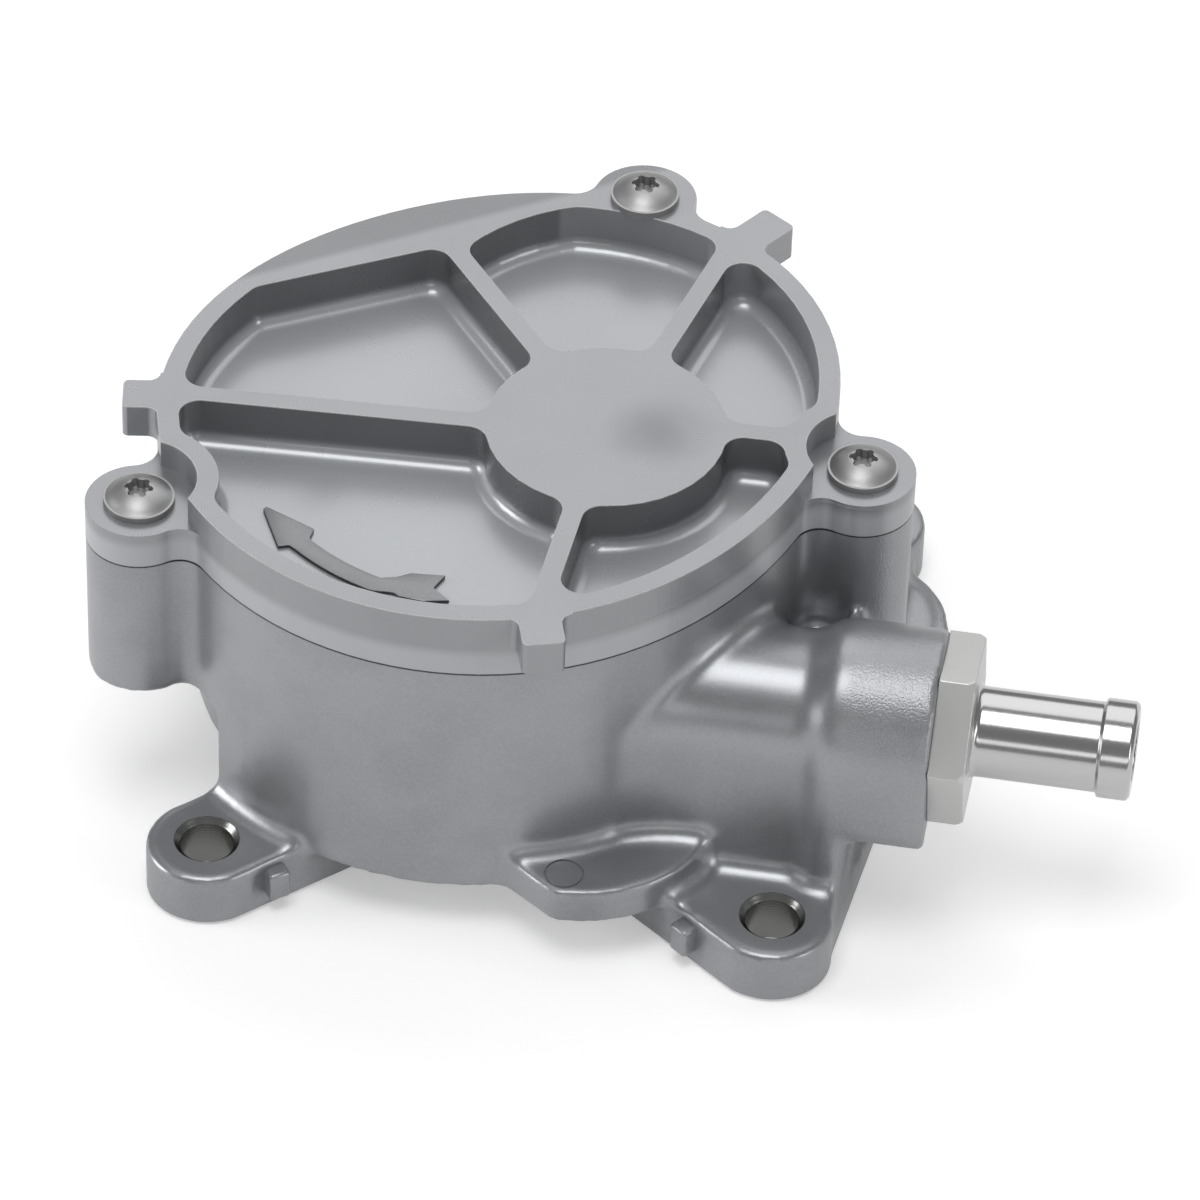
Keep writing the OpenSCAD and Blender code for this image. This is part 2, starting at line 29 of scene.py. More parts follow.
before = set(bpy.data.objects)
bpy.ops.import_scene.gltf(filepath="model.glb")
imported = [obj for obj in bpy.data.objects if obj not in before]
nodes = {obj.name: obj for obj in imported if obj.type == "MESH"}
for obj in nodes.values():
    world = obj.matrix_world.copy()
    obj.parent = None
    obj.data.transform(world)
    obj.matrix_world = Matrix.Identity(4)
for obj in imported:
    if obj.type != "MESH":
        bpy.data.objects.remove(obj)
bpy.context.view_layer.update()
print("frame loaded,", len(nodes), "nodes")


# Camera

viewSettings = {
    "target": (12.8, -35.6, 54.0),  # the picture's middle meets the level of the cover's rim here
    "azimuth": 8.2,
    "elevation": 41.8,
    "roll": 2.0,
    "distance": 955.0,
    "lens": 223.5,
    "sensor": 36.0,
    "clip": (50.0, 20000.0),  # nearest and farthest distance drawn
}


def addCamera(settings):
    a = math.radians(settings["azimuth"])
    e = math.radians(settings["elevation"])
    roll = math.radians(settings["roll"])
    forward = Vector((-math.sin(a) * math.cos(e), math.cos(a) * math.cos(e), -math.sin(e)))
    level = Vector((math.cos(a), math.sin(a), 0))
    up = level.cross(forward)
    right = level * math.cos(roll) + up * math.sin(roll)
    up = up * math.cos(roll) - level * math.sin(roll)
    place = Vector(settings["target"]) * mm - forward * settings["distance"] * mm
    data = bpy.data.cameras.new("camera")
    data.lens = settings["lens"]
    data.sensor_width = settings["sensor"]
    data.clip_start, data.clip_end = (distance * mm for distance in settings["clip"])
    camera = bpy.data.objects.new("camera", data)
    bpy.context.scene.collection.objects.link(camera)
    turn = Matrix((right, up, -forward)).transposed().to_4x4()
    camera.matrix_world = Matrix.Translation(place) @ turn
    bpy.context.scene.camera = camera


addCamera(viewSettings)
bpy.context.scene.view_settings.view_transform = "Standard"
print("camera set")


# Shader maths: a Link is a node's output that can be added and scaled like a number

class Link:
    def __init__(self, paint, socket):
        self.paint = paint
        self.socket = socket

    def __add__(self, other):
        return self.paint.maths("ADD", self, other)

    def __radd__(self, other):
        return self.paint.maths("ADD", other, self)

    def __sub__(self, other):
        return self.paint.maths("SUBTRACT", self, other)

    def __rsub__(self, other):
        return self.paint.maths("SUBTRACT", other, self)

    def __mul__(self, other):
        return self.paint.maths("MULTIPLY", self, other)

    def __rmul__(self, other):
        return self.paint.maths("MULTIPLY", other, self)

    def __pow__(self, other):
        return self.paint.maths("POWER", self, other)


class Paint:
    def __init__(self, name):
        self.material = bpy.data.materials.new(name)
        self.material.use_nodes = True
        self.tree = self.material.node_tree
        self.shader = self.tree.nodes["Principled BSDF"]
        self.place = self.node("ShaderNodeTexCoord", {}, {}, "Object")

    def maths(self, operation, first, second=0.0):
        return self.node("ShaderNodeMath", {"operation": operation}, {0: first, 1: second})

    def node(self, kind, settings, sockets, output=0):
        made = self.tree.nodes.new(kind)
        for key, value in settings.items():
            setattr(made, key, value)
        for key, value in sockets.items():
            self.feed(made.inputs[key], value)
        return Link(self, made.outputs[output])

    def feed(self, socket, value):
        if isinstance(value, Link):
            self.tree.links.new(value.socket, socket)
        else:
            socket.default_value = value

    def set(self, **sockets):
        for key, value in sockets.items():
            self.feed(self.shader.inputs[key.replace("_", " ")], value)

    def noise(self, size, detail=2.0):
        # Soft noise whose blobs are about size millimetres across
        sockets = {"Vector": self.place, "Scale": 1 / (size * mm), "Detail": detail, "Roughness": 0.5}
        return self.node("ShaderNodeTexNoise", {}, sockets)

    def smooth(self, value, low, high, start=0.0, end=1.0):
        # Goes from start to end while the value goes from low to high
        sockets = {"Value": value, "From Min": low, "From Max": high, "To Min": start, "To Max": end}
        return self.node("ShaderNodeMapRange", {"interpolation_type": "SMOOTHSTEP"}, sockets)

    def size(self, value):
        return self.maths("ABSOLUTE", value)

    def reach(self, place):
        # Distance from the upright line through this x, y or from the point x, y, z, in millimetres
        total = None
        for axis, middle in zip(self.axes(), place):
            away = axis - middle * mm
            total = away * away if total is None else total + away * away
        return total ** 0.5

    def upright(self, low, high):
        # One on standing walls, nought on level faces
        return self.smooth(self.size(self.facing()[2]), low, high, 1.0, 0.0)

    def mix(self, factor, first, second):
        return self.node("ShaderNodeMix", {"data_type": "RGBA"}, {0: factor, 6: first, 7: second}, 2)

    def bump(self, height, depth, under=None):
        sockets = {"Height": height, "Distance": depth * mm, "Strength": 1.0}
        if under is not None:
            sockets["Normal"] = under
        return self.node("ShaderNodeBump", {}, sockets)

    def split(self, vector):
        parts = self.tree.nodes.new("ShaderNodeSeparateXYZ")
        self.tree.links.new(vector.socket, parts.inputs[0])
        return [Link(self, output) for output in parts.outputs]

    def axes(self):
        return self.split(self.place)

    def facing(self):
        # The surface's direction as three links
        return self.split(self.node("ShaderNodeNewGeometry", {}, {}, "Normal"))

    def stretched(self, scales):
        # Object coordinates with their own scale on each axis
        return self.node("ShaderNodeMapping", {}, {"Vector": self.place, "Scale": scales})

    def rods(self, middles, radius, edge=0.1):
        # One inside these upright rods, nought outside
        total = None
        for middle in middles:
            part = self.smooth(self.reach(middle), radius * mm, (radius + edge) * mm, 1.0, 0.0)
            total = part if total is None else total + part
        return total


def grey(level, tint=(1.0, 1.0, 1.0)):
    return (level * tint[0], level * tint[1], level * tint[2], 1)


# Materials

# Painted dark spots, standing in for shade and dark reflections: place, radius and strength
housingFinish = {
    "colour": grey(0.315, (0.965, 0.99, 1.04)),
    "pale": grey(0.355, (0.965, 0.99, 1.035)),
    "metallic": 0.68,  # the rest is the blasted skin's own diffuse light
    "roughness": 0.33,
    "fleck": 0.07,
    "grain": 0.3,  # size of the blasted grain
    "grainDepth": 0.006,
    # Rougher blasting on the hose boss and the lugs' sides
    "coarse": {"bossStart": 43.0, "bossEnd": 46.0, "lugTop": (6.4, 7.3), "gain": 9.0, "roughness": 0.06},
    "cloud": 12.0,
    # Bores: machined rings, roughness and full metal, and a darker colour that is painted shade inside the
    # holes
    "bores": {"middles": [(-37.9, -41.1), (37.9, -41.1), (39.2, 39.8)], "radius": 4.35,
              "colour": grey(0.26, (0.98, 1.0, 0.95)), "roughness": 0.26, "rings": 700.0, "ringHeight": 0.7},
    # Painted shade at the foot of the drum's front wall
    "paintedDarkSpots": [((14.0, -46.0, 8.0), 9.0, 0.22)],
}

coverFinish = {
    "colour": grey(0.325, (0.965, 0.99, 1.03)),
    "pale": grey(0.345, (0.965, 0.99, 1.03)),
    "metallic": 0.58,
    "roughness": 0.27,
    "fleck": 0.005,
    "grain": 0.25,
    "grainDepth": 0.0002,
    "cloud": 16.0,
    # Pocket floors painted paler, with less metal sheen: painted light standing in for the light that falls
    # on them
    "floor": {"start": 49.2, "full": 47.2, "colour": grey(0.46, (0.965, 0.99, 1.03)), "metallic": 0.3},
    # Plate behind the rim, darkened with painted shade: direction away from the rim, where the painted shade
    # begins and is full, and the plate's own level
    "plate": {"across": (-0.55, 0.835), "start": 39.9, "full": 41.6, "level": (53.6, 53.9), "dark": 0.3},
    # Standing walls inside a circle about this middle are the pockets' walls, darkened with painted shade,
    # and walls outside it carry tool marks and a parting line
    "middle": (-7.3, 0.7),
    "pocketWallShade": {"circle": (41.2, 41.7), "level": (47.2, 49.5), "dark": 0.42},
    "outerWall": {"circle": (40.4, 40.9), "line": 49.2, "lineWidth": (0.05, 0.22), "lineHeight": 0.5,
                  "marks": (2600.0, 2600.0, 90.0), "depth": 0.024, "roughness": 0.04},
    # Painted dark reflections on the hub's top and on the pocket floors
    "paintedDarkSpots": [
        ((15.2, -1.6, 54.0), 9.0, 0.3),
        ((-27.6, -14.5, 47.0), 5.5, 0.15),
        ((-12.0, 4.0, 47.0), 9.0, 0.06),
    ],
}

# The rotation arrow is rougher and darker than the floor it stands on
arrowFinish = {
    "colour": grey(0.27, (0.965, 0.99, 1.02)),
    "pale": grey(0.29, (0.965, 0.99, 1.02)),
    "metallic": 0.45,
    "roughness": 0.4,
    "fleck": 0.05,
    "grain": 0.3,
    "grainDepth": 0.004,
    "cloud": 16.0,
    # Its standing sides are darkened further: painted shade
    "paintedShadeOnSides": 0.85,
    # Painted dark reflection, as on the pocket floor under the arrow
    "paintedDarkSpots": [((-27.6, -14.5, 47.0), 5.5, 0.1)],
}

# What all cast pieces share
castSettings = {
    "seam": 44.5,  # level of the joint between housing and cover
    "seamWidth": (0.08, 0.2),
    "seamDark": 0.95,
    "paintedSpotRagged": 6.0,
    "cloudRoughness": 0.07,
    # Near-black for the joint line and for painted shade
    "seamAndPaintedShade": grey(0.015),
    "bright": grey(0.75),
}


def seamAndShadeMask(paint, settings, cloud):
    # How dark each place is: the joint line, painted dark spots of shade and reflection, painted shade on the
    # plate, and painted shade on standing walls
    x, y, z = paint.axes()
    off = paint.size(z - castSettings["seam"] * mm)
    narrow, wide = castSettings["seamWidth"]
    dark = paint.smooth(off, narrow * mm, wide * mm, castSettings["seamDark"], 0.0)
    # Painted dark spots: shade and dark reflections, with ragged edges
    for place, radius, strength in settings["paintedDarkSpots"]:
        gap = paint.reach(place) + (cloud - 0.5) * castSettings["paintedSpotRagged"] * mm
        dark = dark + paint.smooth(gap, 0.0, radius * mm, strength, 0.0)
    # Painted shade on the plate behind the rim
    if "plate" in settings:
        plate = settings["plate"]
        low, high = plate["level"]
        away = x * plate["across"][0] + y * plate["across"][1]
        behind = paint.smooth(away, plate["start"] * mm, plate["full"] * mm, 0.0, plate["dark"])
        dark = dark + behind * paint.smooth(z, low * mm, high * mm)
    # Painted shade on standing faces
    if "paintedShadeOnSides" in settings:
        dark = dark + paint.upright(0.2, 0.6) * settings["paintedShadeOnSides"]
    if "pocketWallShade" in settings:
        # Painted shade on the pockets' standing walls
        walls = settings["pocketWallShade"]
        near, far = walls["circle"]
        low, high = walls["level"]
        inner = paint.smooth(paint.reach(settings["middle"]), near * mm, far * mm, walls["dark"], 0.0)
        dark = dark + inner * paint.upright(0.1, 0.5) * paint.smooth(z, low * mm, high * mm)
    return paint.maths("MINIMUM", dark, 1.0)


def castMetal(name, settings):
    paint = Paint(name)
    x, _, z = paint.axes()
    cloud = paint.noise(settings["cloud"], 3.0)
    grain = paint.noise(settings["grain"], 1.0)
    metallic = settings["metallic"]
    base = paint.mix(paint.smooth(cloud, 0.3, 0.7), settings["colour"], settings["pale"])
    # Pocket floors painted paler: painted light
    if "floor" in settings:
        floor = settings["floor"]
        low = paint.smooth(z, floor["full"] * mm, floor["start"] * mm, 1.0, 0.0)
        base = paint.mix(low, base, floor["colour"])
        metallic = low * (floor["metallic"] - metallic) + metallic
    # Darkens towards near-black: the seam is the real joint line, the rest is painted shade and painted dark
    # reflection
    base = paint.mix(seamAndShadeMask(paint, settings, cloud), base, castSettings["seamAndPaintedShade"])
    base = paint.mix(paint.smooth(grain, 0.35, 0.7, 0.0, settings["fleck"]), base, castSettings["bright"])
    rough = (grain - 0.5) * settings["fleck"] + (cloud - 0.5) * castSettings["cloudRoughness"]
    rough = rough + settings["roughness"]
    height = grain
    if "coarse" in settings:
        coarse = settings["coarse"]
        boss = paint.smooth(x, coarse["bossStart"] * mm, coarse["bossEnd"] * mm)
        low, high = coarse["lugTop"]
        lug = paint.upright(0.3, 0.7) * paint.smooth(z, low * mm, high * mm, 1.0, 0.0)
        blasted = paint.maths("MINIMUM", boss + lug, 1.0)
        height = (grain - 0.5) * (1 + blasted * coarse["gain"])
        rough = rough + blasted * coarse["roughness"]
    # Bores: machined finish, and a darker colour that is painted shade inside the holes
    if "bores" in settings:
        bores = settings["bores"]
        inside = paint.rods(bores["middles"], bores["radius"])
        base = paint.mix(inside, base, bores["colour"])
        sockets = {"Vector": paint.place, "Scale": bores["rings"], "Distortion": 0.8, "Detail": 2.0}
        rings = paint.node("ShaderNodeTexWave", {"bands_direction": "Z"}, sockets)
        rough = rough * (1 - inside) + inside * bores["roughness"]
        height = height * (1 - inside) + rings * inside * bores["ringHeight"]
        metallic = inside * (1 - metallic) + metallic
    bump = paint.bump(height, settings["grainDepth"])
    if "outerWall" in settings:
        outer = settings["outerWall"]
        near, far = outer["circle"]
        thin, wide = outer["lineWidth"]
        wall = paint.upright(0.2, 0.5) * paint.smooth(paint.reach(settings["middle"]), near * mm, far * mm)
        off = paint.size(z - outer["line"] * mm)
        line = paint.smooth(off, thin * mm, wide * mm, outer["lineHeight"], 0.0)
        sockets = {"Vector": paint.stretched(outer["marks"]), "Scale": 1.0, "Detail": 3.0}
        marks = paint.node("ShaderNodeTexNoise", {}, sockets)
        bump = paint.bump((marks + line) * wall, outer["depth"], bump)
        rough = rough + wall * outer["roughness"]
    paint.set(Base_Color=base, Metallic=metallic, Roughness=rough, Normal=bump)
    return paint.material


# Bright turned aluminium: the hexagon is duller and grainier than the spigot
turnedSettings = {
    "hexEnd": (61.05, 61.35),  # the hexagon ends and the spigot starts here along X
    "hexagon": {"colour": grey(0.6, (1.0, 1.0, 0.985)), "metallic": 0.45, "roughness": 0.33, "grain": 3.2},
    "spigot": {"colour": grey(0.52), "metallic": 0.95, "roughness": 0.17, "grain": 0.3},
    "grainSize": 0.28,
    "ring": 0.22,
    "spread": 0.12,  # of the roughness
    "ringHeight": 0.4,
    "depth": 0.008,
}


def turnedMetal(name, settings):
    paint = Paint(name)
    scale = 1 / (settings["ring"] * mm * 3.0)
    sockets = {"Vector": paint.place, "Scale": scale, "Distortion": 0.4, "Detail": 2.0}
    rings = paint.node("ShaderNodeTexWave", {"bands_direction": "X"}, sockets)
    grain = paint.noise(settings["grainSize"])
    start, end = settings["hexEnd"]
    spigot = paint.smooth(paint.axes()[0], start * mm, end * mm)
    one, two = settings["hexagon"], settings["spigot"]
    blend = {key: spigot * (two[key] - one[key]) + one[key] for key in ("metallic", "roughness", "grain")}
    paint.set(Base_Color=paint.mix(spigot, one["colour"], two["colour"]), Metallic=blend["metallic"])
    paint.set(Roughness=blend["roughness"] + (grain - 0.5) * settings["spread"])
    height = rings * spigot * settings["ringHeight"] + grain * blend["grain"]
    paint.set(Normal=paint.bump(height, settings["depth"]))
    return paint.material


# Plain surfaces: how far the colour and roughness spread about their levels
plainSettings = {"grain": 0.3, "cloud": 6.0, "colours": (0.88, 1.1), "spread": 0.12, "depth": 0.006}
mattSettings = {"grain": 0.4, "pale": 1.5, "spread": 0.15, "depth": 0.01}


def plainMetal(name, level, roughness, tint=(1.0, 1.0, 1.0)):
    paint = Paint(name)
    grain = paint.noise(plainSettings["grain"])
    cloud = paint.noise(plainSettings["cloud"])
    low, high = plainSettings["colours"]
    paint.set(Base_Color=paint.mix(cloud, grey(level * low, tint), grey(level * high, tint)), Metallic=1.0)
    paint.set(Roughness=roughness + (grain - 0.5) * plainSettings["spread"])
    paint.set(Normal=paint.bump(grain, plainSettings["depth"]))
    return paint.material


def matt(name, level, roughness):
    paint = Paint(name)
    grain = paint.noise(mattSettings["grain"])
    paint.set(Base_Color=paint.mix(grain, grey(level), grey(level * mattSettings["pale"])), Metallic=0.0)
    paint.set(Roughness=roughness + (grain - 0.5) * mattSettings["spread"])
    paint.set(Normal=paint.bump(grain, mattSettings["depth"]))
    return paint.material


materials = {
    "housing": castMetal("blasted cast aluminium, housing", housingFinish),
    "cover": castMetal("blasted cast aluminium, cover", coverFinish),
    "nipple": turnedMetal("turned aluminium", turnedSettings),
    "arrow": castMetal("rough cast aluminium, arrow", arrowFinish),
    # Paler matte colour on the cover rim's top edges: a painted highlight
    "edge": matt("painted edge highlight", 0.36, 0.3),
    "screw": plainMetal("zinc plated screw", 0.4, 0.46),
    "steel": plainMetal("ground steel", 0.55, 0.25),
    "dark": plainMetal("oiled steel", 0.16, 0.38),
    "rotor": plainMetal("sintered rotor", 0.34, 0.42),
    "bush": plainMetal("bronze bush", 0.55, 0.35, (1.0, 0.74, 0.42)),
    "vane": matt("carbon plastic vane", 0.02, 0.5),
    "plastic": matt("black plastic", 0.015, 0.45),
    "seal": matt("black rubber", 0.008, 0.6),
}

# The nodes of each finish
finishes = {
    "housing": ["housing"],
    "cover": ["cover"],
    "nipple": ["hose_nipple"],
    "screw": ["cover_screws"],
    "steel": ["vane_pin", "coupling_ring", "oil_tube", "outlet_reed", "reed_stop", "valve_spring"],
    "dark": ["drive_coupling", "reed_screw"],
    "rotor": ["rotor"],
    "bush": ["shaft_bush"],
    "vane": ["vane"],
    "plastic": ["valve_disc", "valve_cage"],
    "seal": ["cover_seal", "oil_seal", "nipple_seal", "flange_gasket"],
}


def coat(piece, finish):
    piece.data.materials.clear()
    piece.data.materials.append(materials[finish])


for finish, names in finishes.items():
    for name in names:
        coat(nodes[name], finish)
print("materials made:", len(materials))


# Helpers for the shapes

def leaveEdit():
    bpy.ops.object.mode_set(mode="OBJECT")


def deselectAll():
    if bpy.context.object is not None and bpy.context.object.mode != "OBJECT":
        leaveEdit()
    bpy.ops.object.select_all(action="DESELECT")


def activate(piece):
    deselectAll()
    bpy.context.view_layer.objects.active = piece
    piece.select_set(True)


def editAll():
    bpy.ops.object.mode_set(mode="EDIT")
    bpy.ops.mesh.select_all(action="SELECT")


def applyModifiers(piece):
    activate(piece)
    for modifier in list(piece.modifiers):
        bpy.ops.object.modifier_apply(modifier=modifier.name)


def newPlaced():
    # The primitive just added, with its place taken into its mesh
    bpy.ops.object.transform_apply(location=True, rotation=True, scale=True)
    return bpy.context.object


def combine(piece, other, operation="DIFFERENCE"):
    change = piece.modifiers.new("combine", "BOOLEAN")
    change.operation = operation
    change.solver = "MANIFOLD"
    change.object = other
    applyModifiers(piece)
    bpy.data.objects.remove(other)


def raiseFace(height):
    # Makes the active flat face into a closed block
    editAll()
    bpy.ops.mesh.extrude_region_move(TRANSFORM_OT_translate={"value": (0, 0, height * mm)})
    bpy.ops.mesh.select_all(action="SELECT")
    bpy.ops.mesh.normals_make_consistent(inside=False)
    leaveEdit()


def blockUp(outline, low, high):
    # Upright block over an outline of x, y points
    deselectAll()
    bpy.ops.mesh.primitive_circle_add(vertices=len(outline), radius=10 * mm, fill_type="NGON")
    block = bpy.context.object
    for vert, (x, y) in zip(block.data.vertices, outline):
        vert.co = (x * mm, y * mm, low * mm)
    raiseFace(high - low)
    return block


# Eased copies: the cover, screws and nipple get true small bevels on their sharp edges

easedSettings = {
    "cover": {
        "slot": "casting", "width": 0.22, "segments": 2, "angle": 32,
        "fillets": [(47.0, 1.9, 6)],  # level of the floor, radius and segments
        "rims": [(54.0, 0.15, 2)],  # level of the top, width of its edges painted as a highlight, and segments
    },
    "cover_screws": {
        "slot": "screw", "width": 0.15, "segments": 2, "angle": 32, "fillets": [], "rims": [],
    },
    "hose_nipple": {
        "slot": "nipple", "width": 0.3, "segments": 3, "angle": 28, "fillets": [], "rims": [],
    },
}
weldGap = 0.001  # vertices closer than this are one
flatTurn = 0.4  # faces that turn less than this are one, in degrees
crispTurn = 30  # edges that turn more than this stay sharp


def mergedCopy(node, name):
    mesh = nodes[node].data.copy()
    piece = bpy.data.objects.new(name, mesh)
    bpy.context.scene.collection.objects.link(piece)
    activate(piece)
    if mesh.has_custom_normals:
        bpy.ops.mesh.customdata_custom_splitnormals_clear()
    editAll()
    bpy.ops.mesh.remove_doubles(threshold=weldGap * mm)
    leaveEdit()
    return piece


def selectWhere(piece, kind, test):
    # Leaves the mesh in edit mode with the edges or verts that pass the test selected
    activate(piece)
    bpy.context.tool_settings.mesh_select_mode = (kind == "verts", kind == "edges", False)
    bpy.ops.object.mode_set(mode="EDIT")
    bpy.ops.mesh.select_all(action="DESELECT")
    shape = bmesh.from_edit_mesh(piece.data)
    for element in {"verts": shape.verts, "edges": shape.edges}[kind]:
        if test(element):
            element.select_set(True)
    bmesh.update_edit_mesh(piece.data)


def bevelLevel(piece, level, width, segments, side, slot=-1):
    # Rounds the edges of the faces at this level: side -1 takes inner edges, 1 outer ones.
    # The slot is that of the new faces' material.
    near, sharp = 0.01 * mm, 0.8

    def chosen(edge):
        levelEdge = all(abs(vert.co.z - level * mm) < near for vert in edge.verts)
        return levelEdge and edge.is_manifold and edge.calc_face_angle_signed() * side > sharp

    selectWhere(piece, "edges", chosen)
    bpy.ops.mesh.bevel(
        offset=width * mm, segments=segments, affect="EDGES", clamp_overlap=False, material=slot)
    leaveEdit()


def smoothShade(piece, angle):
    activate(piece)
    bpy.ops.object.shade_smooth_by_angle(angle=math.radians(angle))


def crispSmooth(piece):
    # Smooth shading in which wide faces keep their own direction
    smoothShade(piece, crispTurn)
    weighted = piece.modifiers.new("weighted", "WEIGHTED_NORMAL")
    weighted.keep_sharp = True
    applyModifiers(piece)


def standIn(piece, node, body):
    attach(piece, body)
    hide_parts(node)
    print("made", piece.name, len(piece.data.polygons), "faces")


def easedCopy(node, settings):
    piece = mergedCopy(node, node + "_eased")
    editAll()
    bpy.ops.mesh.dissolve_limited(angle_limit=math.radians(flatTurn))
    leaveEdit()
    for level, radius, segments in settings["fillets"]:
        bevelLevel(piece, level, radius, segments, -1)
    for level, width, segments in settings["rims"]:
        # The rim's top edges get the paler edge material: a painted highlight
        piece.data.materials.append(materials["edge"])
        bevelLevel(piece, level, width, segments, 1, 1)
    bevel = piece.modifiers.new("bevel", "BEVEL")
    bevel.width = settings["width"] * mm
    bevel.segments = settings["segments"]
    bevel.limit_method = "ANGLE"
    bevel.angle_limit = math.radians(settings["angle"])
    bevel.use_clamp_overlap = True
    bevel.miter_outer = "MITER_ARC"
    applyModifiers(piece)
    crispSmooth(piece)
    standIn(piece, node, "pump")


for node, settings in easedSettings.items():
    easedCopy(node, settings)


# Housing: its outer skin is cast anew with fillets and rounded edges,
# then the machined faces and bores are cut

housingSettings = {
    "voxel": 0.42,
    "fillet": 1.7,
    "round": 0.45,
    "softening": (0.5, 4),  # share and rounds of the skin's last smoothing
    "triangles": 185000,
    "spare": 1.25,  # until it is machined, the skin keeps this many times as many
    "smooth": 40,
    # Tabs on the front lugs: their places and turns, size, lower end and bevel
    "tabs": {"places": [((-28.5, -42.7), 36.0), ((27.2, -42.8), -40.0)],
             "size": (3.0, 4.4, 4.4), "low": 1.6, "bevel": 0.5},
    # Room about the tabs that is kept free of fillets while the skin is made
    "tabRoom": {"size": (6.5, 3.0, 5.6), "behind": -1.52, "low": 1.0},
    # Wall under the hose boss: flares in from the drum, runs along the neck and swells out to the boss
    "swell": {"flareStart": 26.0, "flareRadius": 25.0, "flareTurn": 30.0, "start": 38.6, "length": 4.8,
              "past": 1.5, "neck": 10.6, "boss": 12.7, "back": 2.0, "low": 6.8, "high": 27.5, "steps": 10},
    # Plugs that fill the cavities while the skin is made, so that the cuts after it are clean
    "plugs": {"chamberLow": 9, "hoseRadius": 9.6, "hoseStart": 8, "recessWider": 4.9, "recessTop": 11,
              "boltWider": 1, "screwWider": 0.9, "screwLower": 1.5},
    "top": 44.5,
    "ledge": 1.3,  # all that is this close under the top is drawn with it
    "foot": 0.01,  # and all below this with the mounting face
    "draw": 6.0,  # the skin is drawn this far past the machined faces, and cut back to them
    # The chamfers' cones run on past both ends
    "bolts": {"places": [(-37.9, -41.1), (37.9, -41.1), (39.2, 39.8)],
              "radius": 3.6, "top": 7.5, "chamfer": 0.7, "past": 0.3, "sides": 64},
    "screwHoles": {"places": [(-50.2, -23.6), (41.9, 0.8), (5.2, 46.9)],
                   "radius": 2.55, "low": 28.5, "sides": 32},
    # Outline of the flange recess: two circles, radius then middle
    "recess": [(26.5, 0.0, 0.0), (12.0, -5.5, 26.5)],
    "recessTop": 6.4,
    "groove": (2.05, 4.45, 1.8),  # inner and outer distance from the recess, and depth
    "bearing": 14.53,
    # Half the vane's length, the rotor's offset, and how far the bore and its plug lie outside the tips' path
    "chamber": {"low": 14.5, "half": 33.0, "offset": 7.4, "out": 3.3, "wall": 4.3,
                "sides": 180, "radius": 30},
    # Upright holes from the recess: radius, middle and top
    "holes": [(2.4, -5.5, 31.5, 15.5), (2.05, -5.5, 20.0, 10.6)],
    "holeSides": 48,
    "hose": {"y": -22.0, "z": 27.5, "face": 56.3},
    "passage": [(5.0, 12.0, 37.0), (8.0, 36.7, 49.0), (9.0, 48.0, 60.0)],  # radius, start and end along X
    # Ring pressed into the pad
    "ejector": {"outer": 2.65, "inner": 2.35, "place": (10.4, -43.2),
                "level": 11.8, "height": 0.6, "sides": 64},
}


def rodUp(radius, low, high, x=0.0, y=0.0, sides=96, topRadius=None):
    deselectAll()
    top = radius if topRadius is None else topRadius
    bpy.ops.mesh.primitive_cone_add(
        vertices=sides, radius1=radius * mm, radius2=top * mm, depth=(high - low) * mm,
        location=(x * mm, y * mm, (low + high) / 2 * mm))
    return newPlaced()


def rodAlong(radius, start, end, hose):
    deselectAll()
    bpy.ops.mesh.primitive_cylinder_add(
        vertices=96, radius=radius * mm, depth=(end - start) * mm,
        location=((start + end) / 2 * mm, hose["y"] * mm, hose["z"] * mm), rotation=(0, math.radians(90), 0))
    return newPlaced()


def slab(low, high):
    deselectAll()
    wide = 220 * mm
    bpy.ops.mesh.primitive_cube_add(
        size=1, location=(0, 0, (low + high) / 2 * mm), scale=(wide, wide, (high - low) * mm))
    return newPlaced()


def chamberBlock(settings, out, low, high):
    # The vane tips' path, moved out along its normal
    deselectAll()
    bpy.ops.mesh.primitive_circle_add(
        vertices=settings["sides"], radius=settings["radius"] * mm, fill_type="NGON",
        location=(0, 0, low * mm))
    block = newPlaced()
    for vert in block.data.vertices:
        turn = math.atan2(vert.co.y, vert.co.x)
        across, up = math.cos(turn), math.sin(turn)
        reach = settings["half"] - settings["offset"] * across
        slide = settings["offset"] * up
        size = math.hypot(reach, slide)
        vert.co.x = (reach * across + out * (reach * across + slide * up) / size) * mm
        vert.co.y = (reach * up + out * (reach * up - slide * across) / size) * mm
    activate(block)
    raiseFace(high - low)
    return block


def joinTo(piece, others):
    deselectAll()
    for other in others:
        other.select_set(True)
    piece.select_set(True)
    bpy.context.view_layer.objects.active = piece
    bpy.ops.object.join()


def drawEnd(piece, test, distance):
    selectWhere(piece, "verts", lambda vert: test(vert.co.z / mm))
    bpy.ops.transform.translate(value=(0, 0, distance * mm))
    leaveEdit()


def reskin(piece, settings):
    # Out past the fillet radius, in past the edge radius, and back out
    for move in [0, settings["fillet"], -settings["fillet"] - settings["round"], settings["round"]]:
        if move:
            push = piece.modifiers.new("push", "DISPLACE")
            push.direction = "NORMAL"
            push.mid_level = 0
            push.strength = move * mm
        skin = piece.modifiers.new("skin", "REMESH")
        skin.mode = "VOXEL"
        skin.voxel_size = settings["voxel"] * mm
        applyModifiers(piece)
    smooth = piece.modifiers.new("smooth", "SMOOTH")
    smooth.factor, smooth.iterations = settings["softening"]
    applyModifiers(piece)


